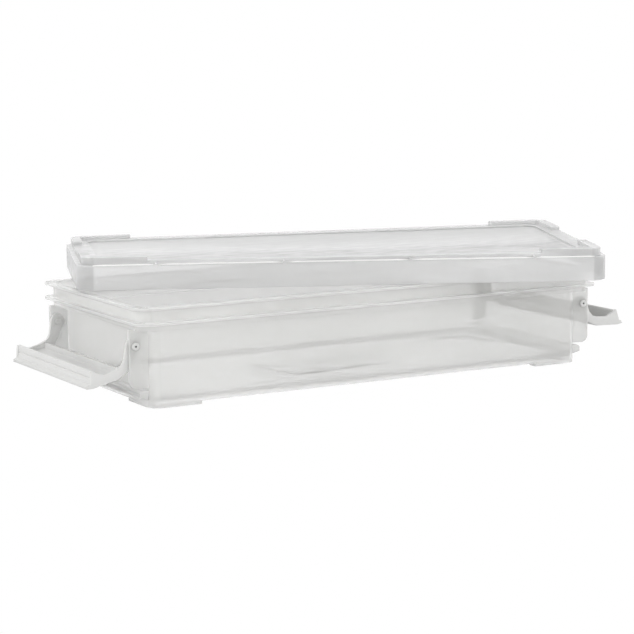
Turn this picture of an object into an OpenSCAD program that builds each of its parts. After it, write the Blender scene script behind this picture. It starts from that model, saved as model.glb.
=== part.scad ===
// Long, shallow latch box for film: a tub, a lift-off lid lying askew on it,
// and a hinged bail handle at each end. Millimetres, +Z up, origin at the centre
// of the tub's footprint on the surface it stands on, +X along its length.

/* [Tub] */
// Length over the end walls
tub_length = 400; // [340:5:440]
// Width over the long walls
tub_width = 170; // [150:5:190]
// Height from the feet to the top of the rim
tub_height = 80; // [76:1:100]
// Thickness of the tub's walls and floor
wall = 2; // [1.6:0.1:2.5]
// Radius of the upright corners
corner_r = 10; // [6:1:14]
// Height of the corner feet
foot_height = 2.5; // [1.5:0.5:4]
// Length of each leg of an L-shaped corner foot
foot_leg = 43; // [25:1:60]

/* [Rim] */
// How far the flanges stand out past the end walls
rim_end = 15; // [14:0.5:16]
// How far the flanges stand out past the long walls
rim_side = 12; // [10:0.5:14]
// How far the stepped-out part of the wall stands past the end walls
step_end = 10; // [8:0.5:11]
// How far the stepped-out part of the wall stands past the long walls
step_side = 5; // [3:0.5:7]
// Height of the stepped-out part of the wall
step_height = 19; // [17:0.5:20]
// Drop from the upper flange to the lower one
flange_drop = 12; // [10:0.5:13]
// Thickness of a flange
flange = 2; // [1.5:0.1:2.5]

/* [Ears] */
// How far an ear stands out from the end wall
ear_out = 15.2; // [14:0.2:16]
// Height of an ear's lower edge
ear_bottom = 15.6; // [14.5:0.1:20]
// Distance from a long wall's plane to the ear's outer face
ear_inset = 6; // [5:0.5:10]
// Thickness of an ear
ear = 3; // [2.5:0.5:4]

/* [Lid] */
// Gap between the rim's flange and the lid's skirt when closed
lid_gap = 0.5; // [0.3:0.1:1]
// Thickness of the lid
lid_wall = 1.6; // [1.2:0.1:2]
// Height of the skirt up to the fold
skirt_height = 19.6; // [15:0.2:22]
// Height of the crown above the fold
crown_height = 3.4; // [2:0.2:6]
// Width of the ledge between the skirt and the crown
ledge = 4; // [3:0.5:6]
// Height of the raised corner ridges
ridge_height = 3; // [2:0.2:5]
// Length of each leg of a corner ridge
ridge_leg = 52; // [30:1:70]
// Angle by which the lid lies turned on the tub
lid_turn = -20.4; // [-25:0.1:-15]

/* [Handles] */
// How far the pivots stand out from the end walls
pivot_out = 10; // [9.5:0.1:10.5]
// Height of the pivots
pivot_height = 48.9; // [46:0.1:50]
// How far the right handle stands above its stop
right_lift = 12.5; // [0:0.5:20]
// Thickness of an arm
arm = 3; // [2.5:0.5:4]

/* [Pins] */
// Radius of a hinge pin
pin_r = 2; // [1.5:0.1:2.2]
// Radial clearance of a pin in a handle's arm
pin_gap = 0.05; // [0.03:0.01:0.08]

/* [Film sheet] */
// Length of the loose sheet on the tub's floor
sheet_length = 114; // [80:1:150]
// Depth of the loose sheet
sheet_depth = 70; // [50:1:90]

/* [Hidden] */
$fn = 48;
rest_gap = 0.3;
floor_top = foot_height + wall;
foot_width = 9;
centre_foot_r = 9;
step_bottom = tub_height - step_height;
rim_size = [tub_length + 2 * rim_end, tub_width + 2 * rim_side];
rim_r = corner_r + 3;
step_size = [tub_length + 2 * step_end, tub_width + 2 * step_side];
step_r = corner_r + 1;
rail = [7, tub_width - 2 * ear_inset, 6.8];
rail_bottom = 6.6;
ear_top = step_bottom + wall / 2;
ear_round = 6;
ear_y = tub_width / 2 - ear_inset - ear / 2;
pivot = [tub_length / 2 + pivot_out, 0, pivot_height];
arm_gap = 0.4;
arm_y = ear_y - ear / 2 - arm_gap - arm / 2;
skirt_size = rim_size + 2 * (lid_gap + lid_wall) * [1, 1];
skirt_r = rim_r + lid_gap + lid_wall;
crown_size = skirt_size - 2 * ledge * [1, 1];
crown_r = skirt_r - ledge;
recess_inset = 14;
recess_depth = 1.6;
ridge_width = 8;
lid_place = [15, 17.5, tub_height + rest_gap];
rib_x = [-154.5, -51.5, 51.5, 154.5];
head_r = 3.2;
head = 1.2;
sheet = 0.8;
sheet_place = [-1, -5, floor_top];
sheet_turn = 7;

// Rectangle with round corners, centred on the origin.
module plan(size, r) {
    square([size.x - 2 * r, size.y], center = true);
    square([size.x, size.y - 2 * r], center = true);
    for (sx = [-1, 1], sy = [-1, 1]) {
        translate([sx * (size.x / 2 - r), sy * (size.y / 2 - r)]) circle(r);
    }
}

// Upright wall of constant thickness that follows a plan.
module plan_wall(size, r, thickness, height) {
    linear_extrude(height) difference() {
        plan(size, r);
        plan(size - 2 * thickness * [1, 1], r - thickness);
    }
}

// The four corners of a flat plan, each an L of two legs.
module corner_legs(size, r, leg, width, height) {
    linear_extrude(height) intersection() {
        difference() {
            plan(size, r);
            plan(size - 2 * width * [1, 1], max(r - width, 1));
        }
        for (sx = [-1, 1], sy = [-1, 1]) {
            translate([sx * (size.x - leg) / 2, sy * (size.y - leg) / 2]) square(leg, center = true);
        }
    }
}

// Lower part of the tub: floor, feet and walls up to the step.
module tub_body() {
    inner = [tub_length, tub_width] - 2 * wall * [1, 1];
    translate([0, 0, foot_height]) difference() {
        linear_extrude(step_bottom + wall - foot_height) plan([tub_length, tub_width], corner_r);
        translate([0, 0, wall]) linear_extrude(tub_height) plan(inner, corner_r - wall);
    }
    corner_legs([tub_length, tub_width], corner_r, foot_leg, foot_width, foot_height);
    cylinder(r = centre_foot_r, h = foot_height);
}

// Upper part of the tub: the stepped-out wall with its shoulder and two flanges.
module tub_rim() {
    translate([0, 0, step_bottom]) linear_extrude(wall) difference() {
        plan(step_size, step_r);
        plan([tub_length, tub_width] - 2 * wall * [1, 1], corner_r - wall);
    }
    translate([0, 0, step_bottom]) plan_wall(step_size, step_r, wall, step_height);
    for (top = [tub_height, tub_height - flange_drop]) {
        translate([0, 0, top - flange]) linear_extrude(flange) difference() {
            plan(rim_size, rim_r);
            plan(step_size - 2 * wall * [1, 1], step_r - wall);
        }
    }
}

// One ear plate, standing on the right end wall, with its bore for the pin.
module ear_plate() {
    root = tub_length / 2 - wall / 2;
    tip = tub_length / 2 + ear_out;
    rotate([90, 0, 0]) linear_extrude(ear, center = true) difference() {
        union() {
            translate([root, ear_bottom + ear_round]) square([tip - root, ear_top - ear_bottom - ear_round]);
            translate([root, ear_bottom]) square([tip - root - ear_round, 2 * ear_round]);
            translate([tip - ear_round, ear_bottom + ear_round]) circle(ear_round);
        }
        translate([pivot.x, pivot.z]) circle(pin_r);
    }
}

// Low rail across the right end wall, between the ears.
module end_rail() {
    chamfer = 1.6;
    rotate([90, 0, 0]) linear_extrude(rail.y, center = true) translate([tub_length / 2, rail_bottom]) polygon([
        [-wall / 2, 0], [rail.x - 4 * chamfer, 0], [rail.x, chamfer],
        [rail.x, rail.z - chamfer], [rail.x - chamfer, rail.z], [-wall / 2, rail.z]
    ]);
}

module tub() {
    color([0.85, 0.88, 0.86, 0.45]) {
        tub_body();
        tub_rim();
        for (turn = [0, 180]) rotate(turn) {
            end_rail();
            for (side = [-1, 1]) translate([0, side * ear_y, 0]) ear_plate();
        }
    }
}

module lid() {
    top = skirt_height + crown_height;
    inner = skirt_size - 2 * lid_wall * [1, 1];
    color([0.86, 0.87, 0.87, 0.5]) translate(lid_place) rotate(lid_turn) {
        difference() {
            union() {
                linear_extrude(skirt_height) plan(skirt_size, skirt_r);
                linear_extrude(top) plan(crown_size, crown_r);
            }
            translate([0, 0, -1]) linear_extrude(skirt_height - lid_wall + 1) plan(inner, skirt_r - lid_wall);
            translate([0, 0, -1]) linear_extrude(top - recess_depth - lid_wall + 1)
                plan(crown_size - 2 * lid_wall * [1, 1], crown_r - lid_wall);
            translate([0, 0, top - recess_depth]) linear_extrude(2 * recess_depth)
                plan(crown_size - 2 * recess_inset * [1, 1], corner_r);
        }
        translate([0, 0, top]) corner_legs(crown_size, crown_r, ridge_leg, ridge_width, ridge_height);
        for (x = rib_x, side = [-1, 1]) {
            translate([x, side * (crown_size.y + ledge) / 2, skirt_height + crown_height / 4])
                cube([2, ledge, crown_height / 2], center = true);
        }
    }
}

// Side view of a handle's cheek, its pivot at the origin and its grip out along +X.
module cheek_outline() {
    circle(6);
    polygon([
        [-6, 0], [6, 0], [7.6, -10], [10, -14.5], [16, -17.5], [25, -20], [31, -18.5],
        [35.5, -17], [36.5, -27], [39.5, -30.2], [34, -30], [13, -24.6], [3, -17.5]
    ]);
}

// Side view of the grip: a channel with an outer wall, a finger lip and an inner strip.
module grip_outline() {
    polygon([
        [9.6, -17], [12, -17], [12.5, -21], [32, -25.6], [32.6, -17.6], [33.6, -16.6], [35, -17.2],
        [35.4, -21.4], [34.7, -22.4], [35.6, -23.4], [36, -26.4], [39.5, -28.2],
        [39.5, -30.2], [34, -30.2], [13, -24.8], [9, -21.5]
    ]);
}

// Bail handle in its own frame: pivots on the Y axis, lying open against its stop.
module bail() {
    rotate([90, 0, 0]) linear_extrude(2 * arm_y, center = true) grip_outline();
    for (side = [-1, 1]) {
        translate([0, side * arm_y, 0]) rotate([90, 0, 0]) linear_extrude(arm, center = true) difference() {
            cheek_outline();
            circle(pin_r + pin_gap);
        }
    }
}

module handle_right() {
    color([0.93, 0.93, 0.9]) translate(pivot) rotate([0, -right_lift, 0]) bail();
}

module handle_left() {
    color([0.93, 0.93, 0.9]) rotate(180) translate(pivot) bail();
}

// Rivet pin through an ear and an arm, its head on the ear's outer face.
module pin(side) {
    shaft = head + ear + arm + 2 * arm_gap + head;
    color([0.35, 0.36, 0.38]) translate([pivot.x, side * (ear_y + ear / 2 + head), pivot.z])
        rotate([side * 90, 0, 0]) {
            cylinder(r = pin_r, h = shaft);
            rotate_extrude() polygon([
                [0, 0], [head_r - 0.6, 0], [head_r, 0.5], [head_r, head], [0, head]
            ]);
            translate([0, 0, shaft - head]) cylinder(r = pin_r + 0.8, h = head);
        }
}

module pin_right_front() { pin(-1); }
module pin_right_back() { pin(1); }
module pin_left_front() { rotate(180) pin(1); }
module pin_left_back() { rotate(180) pin(-1); }

module film_sheet() {
    color([0.8, 0.82, 0.82, 0.6]) translate(sheet_place) rotate(sheet_turn)
        linear_extrude(sheet) square([sheet_length, sheet_depth], center = true);
}

tub();
lid();
handle_left();
handle_right();
pin_left_front();
pin_left_back();
pin_right_front();
pin_right_back();
film_sheet();
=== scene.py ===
"""Looks of a clear latch box for film: tub, askew lid, two bail handles, hinge pins and a loose sheet."""

import math

import bmesh
import bpy
from mathutils import Matrix, Vector, noise


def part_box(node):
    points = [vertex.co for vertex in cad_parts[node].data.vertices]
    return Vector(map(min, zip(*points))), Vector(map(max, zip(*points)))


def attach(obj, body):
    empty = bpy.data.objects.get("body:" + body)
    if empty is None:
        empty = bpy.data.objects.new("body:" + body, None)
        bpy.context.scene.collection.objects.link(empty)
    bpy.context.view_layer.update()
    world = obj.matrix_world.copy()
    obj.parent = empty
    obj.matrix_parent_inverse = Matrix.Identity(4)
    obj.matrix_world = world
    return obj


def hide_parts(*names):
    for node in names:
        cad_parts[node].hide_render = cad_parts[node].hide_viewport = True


MM = 0.001

# Camera: where it aims, how far off it stands, and which way it looks.
CAMERA_AIM = (-6.5 * MM, 0, 44.9 * MM)
CAMERA_DISTANCE = 1858.8 * MM
CAMERA_AZIMUTH = math.radians(29.27)
CAMERA_PITCH = math.radians(8.62)
CAMERA_ROLL = math.radians(-0.55)
CAMERA_LENS = 125.77
SENSOR = 36.0

FLOOR_SIZE = 200
FLOOR_DROP = 0.2 * MM

# Brightness of the soft surrounding light, level with the box and overhead.
SKY_HORIZON = 1.43
SKY_ZENITH = 0.85

# Tub: half its outside, its step and its inside, and the rounded root between its walls and floor.
TUB_HALF_LENGTH = 200 * MM
STEP_HALF = (210 * MM, 90 * MM)
STEP_BOTTOM = 61 * MM
FOOT_TOP = 2.4 * MM
INNER_HALF = (197.9 * MM, 82.9 * MM)
INNER_R = 8 * MM
INNER_FLOOR = 4.6 * MM
FILLET_R = 4.2 * MM
FILLET_ANGLES = [math.radians(a) for a in (0, 30, 60, 90)]
CORNER_STEPS = 6
PAST_WALL = 0.5 * MM
PAST_STEP = 0.2 * MM

# Lid: its turn on the tub, how far the thin moulding sags out of its plane, its size,
# and the fold along its long sides, which small ribs cross, with a bright bead along it that is a painted
# highlight.
LID_TURN = math.radians(-20.4)
LID_LIFT = 1.9 * MM
LID_DROOP = 2.5 * MM
LID_RAISE = 1.1 * MM
LID_SIZE = (434.2 * MM, 198.2 * MM)
LID_END = 14 * MM
CROWN_BOTTOM = 20.2 * MM
FOLD_HEIGHT = 19.8 * MM
FOLD_R = 0.65 * MM
FOLD_END = 206 * MM
FOLD_BREAK = 1.3 * MM
FOLD_TIP = 0.3
FOLD_STEPS = 12
FOLD_SIDES = 8
FOLD_RIBS = [k * 51.5 * MM for k in (-3, -1, 1, 3)]

# Loose sheet on the floor of the tub. Its shape is given in shares of its length, depth and curl.
SHEET_SIZE = (114 * MM, 70 * MM)
SHEET_TURN = math.radians(7)
SHEET_LIFT = 0.35 * MM
SHEET_CURL = 3.2 * MM
SHEET_STEPS = (76, 46)
CRUMPLED = 0.42
LIP_DEPTH = 0.07
LIP_WIDTH = 0.045
LIP_RISE = 0.95
CRUMPLE_DEPTH = 0.22
CRUMPLE_WAVES = 3.1
BACK_FROM = 0.8
BACK_RISE = 0.105
RIPPLE_RISE = 0.10
SHADED_EDGE_ROWS = 2

# Mouldings: edges sharper than this are rounded, and shading breaks only above the second angle.
EDGE_ANGLE = math.radians(28)
SHADE_ANGLE = math.radians(40)
FLAT_ANGLE = math.radians(1)
EDGE_R = 0.35 * MM
HANDLE_EDGE_R = 0.4 * MM
WELD = 0.002 * MM

# Where a clear moulding curls round an upright corner it bends the light away and reads darker.
CURL_ATTRIBUTE = "curl"
CURL_FROM = math.radians(6)
UPRIGHT_NORMAL = 0.5

# Noise lies mostly between these values, so that colours and roughness are spread over them.
NOISE_SPAN = (0.3, 0.7)

# Hinge pins, in millimetres: socket, rounded head, shank and upset tail, and how finely they are turned.
SOCKET_R = 0.8
SOCKET_DEPTH = 1.6
SOCKET_DROP = 0.12
SOCKET_FLARE = 0.15
SOCKET_RINGS = 2
HEAD_ROUND = 0.9
HEAD_THICK = 1.2
SHANK_R = 2.0
TAIL_R = 2.8
TAIL_THICK = 1.2
TAIL_BEVEL = 0.3
RIVET_SIDES = 40
QUARTER = [math.radians(a) for a in (15, 30, 45, 60, 75, 90)]


# ---------------------------------------------------------------- materials


def new_material(name):
    material = bpy.data.materials.new(name)
    material.use_nodes = True
    nodes = material.node_tree.nodes
    return material, nodes, material.node_tree.links, nodes["Principled BSDF"]


def object_noise(nodes, links, scale, detail=3.0, stretch=(1, 1, 1)):
    """Noise fixed to the object, with its grain drawn out along the given axes."""
    place = nodes.new("ShaderNodeTexCoord")
    mapping = nodes.new("ShaderNodeMapping")
    mapping.inputs["Scale"].default_value = stretch
    grain = nodes.new("ShaderNodeTexNoise")
    grain.inputs["Scale"].default_value = scale
    grain.inputs["Detail"].default_value = detail
    links.new(place.outputs["Object"], mapping.inputs["Vector"])
    links.new(mapping.outputs["Vector"], grain.inputs["Vector"])
    return grain.outputs["Fac"]


def ramp(nodes, links, value, low, high):
    """Colours noise from low to high."""
    node = nodes.new("ShaderNodeValToRGB")
    node.color_ramp.elements[0].position, node.color_ramp.elements[1].position = NOISE_SPAN
    node.color_ramp.elements[0].color = (*low, 1)
    node.color_ramp.elements[1].color = (*high, 1)
    links.new(value, node.inputs["Fac"])
    return node.outputs["Color"]


def remap(nodes, links, value, low, high):
    """Spreads noise from low to high."""
    node = nodes.new("ShaderNodeMapRange")
    node.inputs["From Min"].default_value, node.inputs["From Max"].default_value = NOISE_SPAN
    node.inputs["To Min"].default_value = low
    node.inputs["To Max"].default_value = high
    links.new(value, node.inputs["Value"])
    return node.outputs["Result"]


def bump(nodes, links, shader, value, strength, distance):
    node = nodes.new("ShaderNodeBump")
    node.inputs["Strength"].default_value = strength
    node.inputs["Distance"].default_value = distance
    links.new(value, node.inputs["Height"])
    links.new(node.outputs["Normal"], shader.inputs["Normal"])


def clear_plastic(name, low, high, alpha, roughness, curl_shade):
    """Slightly milky moulded plastic: cloudy flow marks, faint ripple, fine scuffs, and painted shade where
    it curls.
    """
    material, nodes, links, shader = new_material(name)
    flow = object_noise(nodes, links, 9.0, stretch=(1, 2.2, 3.0))
    tint = ramp(nodes, links, flow, low, high)
    # painted shade: the curl attribute darkens the base colour on curved upright corners
    curls = nodes.new("ShaderNodeAttribute")
    curls.attribute_name = CURL_ATTRIBUTE
    shade = nodes.new("ShaderNodeMix")
    shade.data_type = "RGBA"
    shade.blend_type = "MULTIPLY"
    shade.inputs["B"].default_value = (curl_shade, curl_shade, curl_shade, 1)
    links.new(curls.outputs["Fac"], shade.inputs["Factor"])
    links.new(tint, shade.inputs["A"])
    links.new(shade.outputs["Result"], shader.inputs["Base Color"])
    scuffs = object_noise(nodes, links, 160.0, 6.0, stretch=(0.3, 1, 1))
    links.new(remap(nodes, links, scuffs, *roughness), shader.inputs["Roughness"])
    ripple = object_noise(nodes, links, 34.0, 2.0)
    bump(nodes, links, shader, ripple, 0.07, 0.5 * MM)
    shader.inputs["Subsurface Weight"].default_value = 1.0
    shader.inputs["Subsurface Radius"].default_value = (1, 1, 1)
    shader.inputs["Subsurface Scale"].default_value = 3 * MM
    shader.inputs["Alpha"].default_value = alpha
    shader.inputs["IOR"].default_value = 1.49
    shader.inputs["Specular IOR Level"].default_value = 0.22
    material.surface_render_method = "DITHERED"
    return material


def satin_plastic(name, low, high):
    """Opaque off-white moulded plastic with a fine eroded grain."""
    material, nodes, links, shader = new_material(name)
    tone = object_noise(nodes, links, 22.0, 4.0)
    links.new(ramp(nodes, links, tone, low, high), shader.inputs["Base Color"])
    grain = object_noise(nodes, links, 900.0, 4.0)
    links.new(remap(nodes, links, grain, 0.32, 0.46), shader.inputs["Roughness"])
    bump(nodes, links, shader, grain, 0.12, 0.1 * MM)
    shader.inputs["Specular IOR Level"].default_value = 0.25
    shader.inputs["Subsurface Weight"].default_value = 0.15
    shader.inputs["Subsurface Radius"].default_value = (0.004, 0.004, 0.0035)
    shader.inputs["Alpha"].default_value = 1.0
    return material


def dull_steel(name, low, high):
    material, nodes, links, shader = new_material(name)
    drawn = object_noise(nodes, links, 1200.0, 4.0, stretch=(1, 0.05, 1))
    links.new(ramp(nodes, links, drawn, low, high), shader.inputs["Base Color"])
    links.new(remap(nodes, links, drawn, 0.3, 0.5), shader.inputs["Roughness"])
    shader.inputs["Metallic"].default_value = 0.4
    return material


def thin_film(name, low, high, alpha):
    """Crinkled film: glossy, half clear, with fine creases."""
    material, nodes, links, shader = new_material(name)
    crease = object_noise(nodes, links, 60.0, 5.0, stretch=(1, 2.5, 1))
    links.new(ramp(nodes, links, crease, low, high), shader.inputs["Base Color"])
    links.new(remap(nodes, links, crease, 0.12, 0.3), shader.inputs["Roughness"])
    bump(nodes, links, shader, crease, 0.6, 0.8 * MM)
    shader.inputs["Alpha"].default_value = alpha
    return material


def white_to_camera(nodes, links, surface, output):
    """Shows plain white where the camera looks, and the given surface to every other ray."""
    ray = nodes.new("ShaderNodeLightPath")
    of_material = output.bl_idname == "ShaderNodeOutputMaterial"
    white = nodes.new("ShaderNodeEmission" if of_material else "ShaderNodeBackground")
    white.inputs["Color"].default_value = (1, 1, 1, 1)
    mix = nodes.new("ShaderNodeMixShader")
    links.new(ray.outputs["Is Camera Ray"], mix.inputs["Fac"])
    links.new(surface, mix.inputs[1])
    links.new(white.outputs[0], mix.inputs[2])
    links.new(mix.outputs["Shader"], output.inputs["Surface"])


def pale_floor(name):
    material, nodes, links, shader = new_material(name)
    tone = object_noise(nodes, links, 3.0)
    links.new(ramp(nodes, links, tone, (0.78, 0.78, 0.78), (0.82, 0.82, 0.82)), shader.inputs["Base Color"])
    shader.inputs["Roughness"].default_value = 0.9
    shader.inputs["Specular IOR Level"].default_value = 0.0
    white_to_camera(nodes, links, shader.outputs["BSDF"], nodes["Material Output"])
    return material


# ---------------------------------------------------------------- pieces


def add_piece(name, mesh, shape, materials, body, node=None):
    """Fills a mesh from its bmesh and hangs it on a body, in place of a CAD node where one is named."""
    shape.to_mesh(mesh)
    shape.free()
    for material in materials:
        mesh.materials.append(material)
    piece = bpy.data.objects.new(name, mesh)
    bpy.context.scene.collection.objects.link(piece)
    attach(piece, body)
    if node:
        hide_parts(node)
    return piece


def on_curl(face, turn):
    """True for a face on the curve of an upright corner of a moulding that is turned by that angle."""
    heading = (math.atan2(face.normal.y, face.normal.x) - turn) % (math.pi / 2)
    return abs(face.normal.z) < UPRIGHT_NORMAL and CURL_FROM < heading < math.pi / 2 - CURL_FROM


def tub_is_dense_and_shaded(point):
    """The tub's ears, end rails, flanges and feet: short, thick features that let less light through, and
    whose darker colour is painted shade.
    """
    beyond_end = abs(point.x) > TUB_HALF_LENGTH + PAST_WALL
    foot = point.z < FOOT_TOP and abs(point.x) > TUB_HALF_LENGTH / 2
    flange = abs(point.x) > STEP_HALF[0] + PAST_STEP or abs(point.y) > STEP_HALF[1] + PAST_STEP
    return flange or foot or (beyond_end and point.z < STEP_BOTTOM)


def lid_is_dense_and_shaded(point):
    """The lid's crown with its corner ridges, and the ends of its skirt: thicker, so more opaque, and painted
    darker as shade.
    """
    along = Matrix.Rotation(-LID_TURN, 3, "Z") @ (point - lid_spot(0, 0, 0))
    return along.z > CROWN_BOTTOM or abs(along.x) > LID_SIZE[0] / 2 - LID_END


def moulded(node, name, body, materials, edge, dense=None, bend=None, turn=0.0):
    """Copies a CAD node as one clean moulding with its sharp edges rounded, and stands for that node."""
    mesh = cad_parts[node].data.copy()
    mesh.materials.clear()
    shape = bmesh.new()
    shape.from_mesh(mesh)
    bmesh.ops.remove_doubles(shape, verts=shape.verts, dist=WELD)
    bmesh.ops.dissolve_limit(
        shape, angle_limit=FLAT_ANGLE, verts=shape.verts, edges=shape.edges, delimit={"NORMAL"}
    )
    sharp = [e for e in shape.edges if e.is_manifold and e.calc_face_angle() > EDGE_ANGLE]
    bmesh.ops.bevel(
        shape, geom=sharp, offset=edge, offset_type="OFFSET", segments=2, profile=0.6,
        affect="EDGES", clamp_overlap=True,
    )
    bmesh.ops.triangulate(shape, faces=[f for f in shape.faces if len(f.verts) > 4])
    curl_layer = shape.loops.layers.float_color.new(CURL_ATTRIBUTE)
    for face in shape.faces:
        amount = 1.0 if on_curl(face, turn) else 0.0
        # faces in the dense mask take the second material: more opaque for thickness, and painted darker as
        # shade
        face.material_index = 1 if dense and dense(face.calc_center_median()) else 0
        for corner in face.loops:
            corner[curl_layer] = (amount, amount, amount, 1)
    if bend:
        for vert in shape.verts:
            vert.co = bend(vert.co)
    for face in shape.faces:
        face.smooth = True
    add_piece(name, mesh, shape, materials, body, node)
    mesh.set_sharp_from_angle(angle=SHADE_ANGLE)


def rivet_outline(head_r, length):
    """Radius, and depth below the head's face, from the socket's floor round to the middle of the tail."""
    socket = [(0, SOCKET_DEPTH), (SOCKET_R, SOCKET_DEPTH)]
    lip = [(SOCKET_R, SOCKET_DROP), (SOCKET_R + SOCKET_FLARE, 0)]
    head = [(head_r - HEAD_ROUND * (1 - math.sin(a)), HEAD_ROUND * (1 - math.cos(a))) for a in QUARTER]
    shank = [(head_r, HEAD_THICK), (SHANK_R, HEAD_THICK), (SHANK_R, length - TAIL_THICK)]
    tail = [(TAIL_R, length - TAIL_THICK), (TAIL_R, length - TAIL_BEVEL)]
    tip = [(TAIL_R - TAIL_BEVEL, length), (0, length)]
    return socket + lip + head + shank + tail + tip


def rivet(node, shell, socket):
    """Turned hinge pin with a socket in its head, which faces away from the part's middle; the socket is
    painted near-black as shade.
    """
    low, high = (Vector(corner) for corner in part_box(node))
    middle = (low + high) / 2
    outward = math.copysign(1, middle.y)
    head_r = (high.x - low.x) / 2
    length = high.y - low.y
    shape = bmesh.new()
    rings = []
    for radius, depth in rivet_outline(head_r / MM, length / MM):
        y = middle.y + outward * (length / 2 - depth * MM)
        if radius == 0:
            rings.append([shape.verts.new((middle.x, y, middle.z))])
            continue
        ring = []
        for k in range(RIVET_SIDES):
            a = 2 * math.pi * k / RIVET_SIDES
            spot = (middle.x + radius * MM * math.cos(a), y, middle.z + radius * MM * math.sin(a))
            ring.append(shape.verts.new(spot))
        rings.append(ring)
    for index, (ring, following) in enumerate(zip(rings, rings[1:])):
        for k in range(RIVET_SIDES):
            after = (k + 1) % RIVET_SIDES
            loop = [ring[k % len(ring)]]
            if len(ring) > 1:
                loop.append(ring[after])
            if len(following) > 1:
                loop.append(following[after])
            loop.append(following[k % len(following)])
            face = shape.faces.new(loop)
            # the socket's rings take the near-black material: painted shade in the recess
            face.material_index = 1 if index < SOCKET_RINGS else 0
            face.smooth = True
    bmesh.ops.recalc_face_normals(shape, faces=shape.faces)
    mesh = bpy.data.meshes.new(f"{node}_rivet")
    add_piece(f"{node}_rivet", mesh, shape, [shell, socket], "tub", node)
    mesh.set_sharp_from_angle(angle=SHADE_ANGLE)


def lid_spot(x, y, z):
    """A point given along, across and above the lid, as a point of the whole model."""
    return lid_origin + Matrix.Rotation(LID_TURN, 3, "Z") @ Vector((x, y, z))


def lid_bend():
    """Sag of the thin lid: the corners that overhang the rim droop, and the other two lift."""
    middle = lid_spot(0, 0, 0)
    back = Matrix.Rotation(-LID_TURN, 3, "Z")

    def bend(point):
        flat = back @ Vector((point.x - middle.x, point.y - middle.y, 0))
        twist = (flat.x / (LID_SIZE[0] / 2)) * (flat.y / (LID_SIZE[1] / 2))
        rise = LID_RAISE + twist * (LID_LIFT if twist > 0 else LID_DROOP)
        return Vector((point.x, point.y, point.z + rise))

    return bend


def fold_highlight_bead(material, bend):
    """Bright bead along the fold of the lid's long sides, a painted highlight where light catches the fold,
    broken where the small ribs cross it.
    """
    stops = [-FOLD_END, *FOLD_RIBS, FOLD_END]
    shape = bmesh.new()
    for side in (-1, 1):
        for start, end in zip(stops, stops[1:]):
            rings = []
            for i in range(FOLD_STEPS + 1):
                x = start + FOLD_BREAK + (end - start - 2 * FOLD_BREAK) * i / FOLD_STEPS
                taper = FOLD_R * (1 if 0 < i < FOLD_STEPS else FOLD_TIP)
                ring = []
                for k in range(FOLD_SIDES):
                    a = 2 * math.pi * k / FOLD_SIDES
                    y = side * (LID_SIZE[1] / 2 - FOLD_R + taper * math.cos(a))
                    ring.append(shape.verts.new(bend(lid_spot(x, y, FOLD_HEIGHT + taper * math.sin(a)))))
                rings.append(ring)
            for ring, following in zip(rings, rings[1:]):
                for k in range(FOLD_SIDES):
                    n = (k + 1) % FOLD_SIDES
                    shape.faces.new((ring[k], ring[n], following[n], following[k]))
            shape.faces.new(rings[0])
            shape.faces.new(rings[-1])
    bmesh.ops.recalc_face_normals(shape, faces=shape.faces)
    for face in shape.faces:
        face.smooth = True
    mesh = bpy.data.meshes.new("lid_fold_highlight")
    add_piece("lid_fold_highlight", mesh, shape, [material], "lid")


def floor_fillet(material):
    """Rounded root where the tub's walls meet its floor all the way round: thicker and so less clear, and
    given a darker colour as painted shade in the crease.
    """
    path = []
    for sx, sy, start in ((1, 1, 0), (-1, 1, 90), (-1, -1, 180), (1, -1, 270)):
        for step in range(CORNER_STEPS + 1):
            a = math.radians(start + 90 * step / CORNER_STEPS)
            out = Vector((math.cos(a), math.sin(a), 0))
            centre = Vector((sx * (INNER_HALF[0] - INNER_R), sy * (INNER_HALF[1] - INNER_R), INNER_FLOOR))
            path.append((centre, out))
    shape = bmesh.new()
    rings = []
    for centre, out in path:
        ring = []
        for a in FILLET_ANGLES:
            inward = FILLET_R * (1 - math.sin(a))
            height = FILLET_R * (1 - math.cos(a))
            ring.append(shape.verts.new(centre + (INNER_R - inward) * out + Vector((0, 0, height))))
        rings.append(ring)
    for ring, following in zip(rings, rings[1:] + rings[:1]):
        for k in range(len(FILLET_ANGLES) - 1):
            shape.faces.new((ring[k], ring[k + 1], following[k + 1], following[k])).smooth = True
    bmesh.ops.recalc_face_normals(shape, faces=shape.faces)
    mesh = bpy.data.meshes.new("tub_floor_fillet")
    add_piece("tub_floor_fillet", mesh, shape, [material], "tub")


def curl(u, v):
    """Height of the loose sheet, as a share of its curl, at u along and v across it, both 0 to 1."""
    near_front = max(0.0, 1 - v / CRUMPLE_DEPTH) ** 2
    to_right = u ** 1.6
    wave = 0.5 + 0.5 * math.sin(2 * math.pi * (CRUMPLE_WAVES * u + 0.3))
    crumple = near_front * to_right * (0.35 + 0.65 * wave)
    lip = max(0.0, 1 - v / LIP_DEPTH, 1 - u / LIP_WIDTH)
    edge = LIP_RISE * lip * (0.8 + 0.2 * math.sin(2 * math.pi * (2.3 * u + 1.7 * v)))
    ripple = RIPPLE_RISE * (0.5 + 0.5 * noise.noise(Vector((5 * u, 4 * v, 0.7))))
    back = BACK_RISE * max(0.0, v - BACK_FROM) / (1 - BACK_FROM) * (1 - u)
    return max(crumple, edge) + ripple + back


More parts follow.
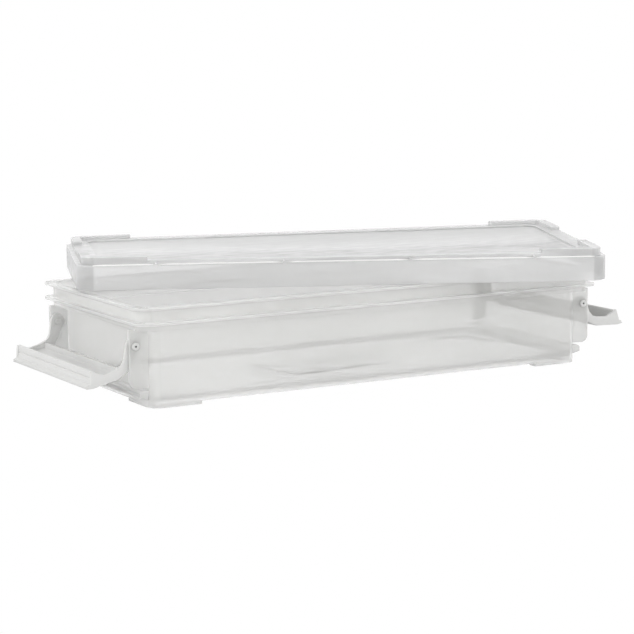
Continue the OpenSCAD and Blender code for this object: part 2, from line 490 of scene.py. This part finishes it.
def film(clear, painted_edge_shade):
    """Loose sheet of film: clear in the middle, with a near-black painted shade along two edges and where it
    is crumpled, standing in for light bent away at its curled edges.
    """
    low, high = (Vector(corner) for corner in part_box("film_sheet"))
    middle = (low + high) / 2
    length, depth = SHEET_SIZE
    steps_x, steps_y = SHEET_STEPS
    shape = bmesh.new()
    turn = Matrix.Rotation(SHEET_TURN, 3, "Z")
    rows = []
    for j in range(steps_y + 1):
        v = j / steps_y
        row = []
        for i in range(steps_x + 1):
            u = i / steps_x
            spot = turn @ Vector(((u - 0.5) * length, (v - 0.5) * depth, 0))
            height = low.z + SHEET_LIFT + SHEET_CURL * curl(u, v)
            row.append(shape.verts.new((middle.x + spot.x, middle.y + spot.y, height)))
        rows.append(row)
    for j in range(steps_y):
        for i in range(steps_x):
            face = shape.faces.new((rows[j][i], rows[j][i + 1], rows[j + 1][i + 1], rows[j + 1][i]))
            face.smooth = True
            crumpled = curl(i / steps_x, j / steps_y) > CRUMPLED
            # painted shade: the edge rows and the crumpled faces take the near-black material
            face.material_index = 1 if i < SHADED_EDGE_ROWS or j < SHADED_EDGE_ROWS or crumpled else 0
    mesh = bpy.data.meshes.new("loose_film")
    piece = add_piece("loose_film", mesh, shape, [clear, painted_edge_shade], "tub", "film_sheet")


# ---------------------------------------------------------------- stage


def make_camera():
    camera = bpy.data.cameras.new("camera")
    camera.lens = CAMERA_LENS
    camera.sensor_width = SENSOR
    camera.clip_end = FLOOR_SIZE
    holder = bpy.data.objects.new("camera", camera)
    turn = (
        Matrix.Rotation(-CAMERA_AZIMUTH, 4, "Z")
        @ Matrix.Rotation(math.pi / 2 - CAMERA_PITCH, 4, "X")
        @ Matrix.Rotation(CAMERA_ROLL, 4, "Z")
    )
    back = turn.to_3x3() @ Vector((0, 0, 1))
    holder.matrix_world = Matrix.Translation(Vector(CAMERA_AIM) + CAMERA_DISTANCE * back) @ turn
    bpy.context.scene.collection.objects.link(holder)
    bpy.context.scene.camera = holder


def make_floor():
    bpy.ops.mesh.primitive_plane_add(size=FLOOR_SIZE, location=(0, 0, -FLOOR_DROP))
    floor = bpy.context.object
    floor.name = "floor"
    floor.data.materials.append(pale_floor("floor_white"))


def area_light(name, place, aim, size, power):
    light = bpy.data.lights.new(name, "AREA")
    light.shape = "RECTANGLE"
    light.size, light.size_y = size
    light.energy = power
    holder = bpy.data.objects.new(name, light)
    holder.location = place
    holder.rotation_euler = (Vector(aim) - Vector(place)).to_track_quat("-Z", "Y").to_euler()
    bpy.context.scene.collection.objects.link(holder)


def make_lights():
    world = bpy.data.worlds.new("studio")
    world.use_nodes = True
    nodes, links = world.node_tree.nodes, world.node_tree.links
    sky = nodes["Background"]
    place = nodes.new("ShaderNodeTexCoord")
    parts = nodes.new("ShaderNodeSeparateXYZ")
    level = nodes.new("ShaderNodeMapRange")
    level.inputs["To Min"].default_value = SKY_HORIZON
    level.inputs["To Max"].default_value = SKY_ZENITH
    links.new(place.outputs["Generated"], parts.inputs["Vector"])
    links.new(parts.outputs["Z"], level.inputs["Value"])
    links.new(level.outputs["Result"], sky.inputs["Strength"])
    sky.inputs["Color"].default_value = (1, 1, 1, 1)
    white_to_camera(nodes, links, sky.outputs[0], nodes["World Output"])
    bpy.context.scene.world = world
    area_light("front_softbox", place=(0.9, -1.6, 0.8), aim=(0, 0, 0.05), size=(1.4, 0.8), power=2)
    area_light("left_softbox", place=(-1.7, -0.5, 0.6), aim=(0, 0, 0.05), size=(1.0, 0.8), power=3)


# ---------------------------------------------------------------- build

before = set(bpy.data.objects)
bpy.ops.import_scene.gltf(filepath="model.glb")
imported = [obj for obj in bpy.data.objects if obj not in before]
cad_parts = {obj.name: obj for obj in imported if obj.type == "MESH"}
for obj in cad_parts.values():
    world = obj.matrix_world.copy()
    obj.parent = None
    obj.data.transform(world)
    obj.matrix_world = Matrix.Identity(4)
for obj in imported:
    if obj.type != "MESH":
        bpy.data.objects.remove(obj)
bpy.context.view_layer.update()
bpy.context.scene.view_settings.view_transform = "Standard"
make_camera()
make_floor()
make_lights()

tub_clear = clear_plastic(
    "tub_clear", low=(0.77, 0.77, 0.755), high=(0.82, 0.82, 0.805),
    alpha=0.32, roughness=(0.10, 0.22), curl_shade=0.97,
)
# dense tub plastic: higher alpha for its thickness, and a darker colour that is painted shade
tub_dense_painted_shade = clear_plastic(
    "tub_dense_painted_shade", low=(0.70, 0.70, 0.69), high=(0.75, 0.75, 0.74),
    alpha=0.52, roughness=(0.12, 0.24), curl_shade=0.97,
)
# tub root: the higher alpha is its thickness, the darker colour is painted shade in the floor crease
tub_root_painted_shade = clear_plastic(
    "tub_root_painted_shade", low=(0.56, 0.56, 0.56), high=(0.63, 0.63, 0.63),
    alpha=0.42, roughness=(0.12, 0.24), curl_shade=1.0,
)
lid_clear = clear_plastic(
    "lid_clear", low=(0.71, 0.71, 0.71), high=(0.76, 0.76, 0.76),
    alpha=0.52, roughness=(0.12, 0.26), curl_shade=0.88,
)
# dense lid plastic: higher alpha for its thickness, and a darker colour that is painted shade
lid_dense_painted_shade = clear_plastic(
    "lid_dense_painted_shade", low=(0.63, 0.63, 0.63), high=(0.67, 0.67, 0.67),
    alpha=0.62, roughness=(0.12, 0.26), curl_shade=0.88,
)
handle_white = satin_plastic("handle_white", low=(0.64, 0.64, 0.63), high=(0.69, 0.69, 0.68))
# near-white opaque bead material: a painted highlight along the lid's fold
fold_painted_highlight = satin_plastic("fold_painted_highlight", low=(0.90, 0.90, 0.89), high=(0.96, 0.96, 0.95))
pin_pale = dull_steel("pin_pale", low=(0.60, 0.60, 0.59), high=(0.72, 0.72, 0.71))
pin_socket_shade = dull_steel("pin_socket_shade", low=(0.08, 0.08, 0.08), high=(0.15, 0.15, 0.15))
film_clear = thin_film("film_clear", low=(0.66, 0.67, 0.66), high=(0.80, 0.81, 0.80), alpha=0.16)
# near-black film material: painted shade for the sheet's curled edges and crumples
film_painted_shade = thin_film("film_painted_shade", low=(0.03, 0.03, 0.03), high=(0.10, 0.10, 0.10), alpha=0.94)

lid_low, lid_high = (Vector(corner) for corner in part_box("lid"))
lid_origin = Vector(((lid_low.x + lid_high.x) / 2, (lid_low.y + lid_high.y) / 2, lid_low.z))
sag = lid_bend()
moulded("tub", "tub_shell", "tub", [tub_clear, tub_dense_painted_shade], EDGE_R, tub_is_dense_and_shaded)
moulded(
    "lid", "lid_shell", "lid", [lid_clear, lid_dense_painted_shade], EDGE_R, lid_is_dense_and_shaded, sag, LID_TURN
)
for side in ("left", "right"):
    body = f"handle_{side}"
    moulded(body, f"{body}_bail", body, [handle_white], HANDLE_EDGE_R)
    for place in ("front", "back"):
        pin = f"pin_{side}_{place}"
        rivet(pin, pin_pale, pin_socket_shade)
fold_highlight_bead(fold_painted_highlight, sag)
floor_fillet(tub_root_painted_shade)
film(film_clear, film_painted_shade)
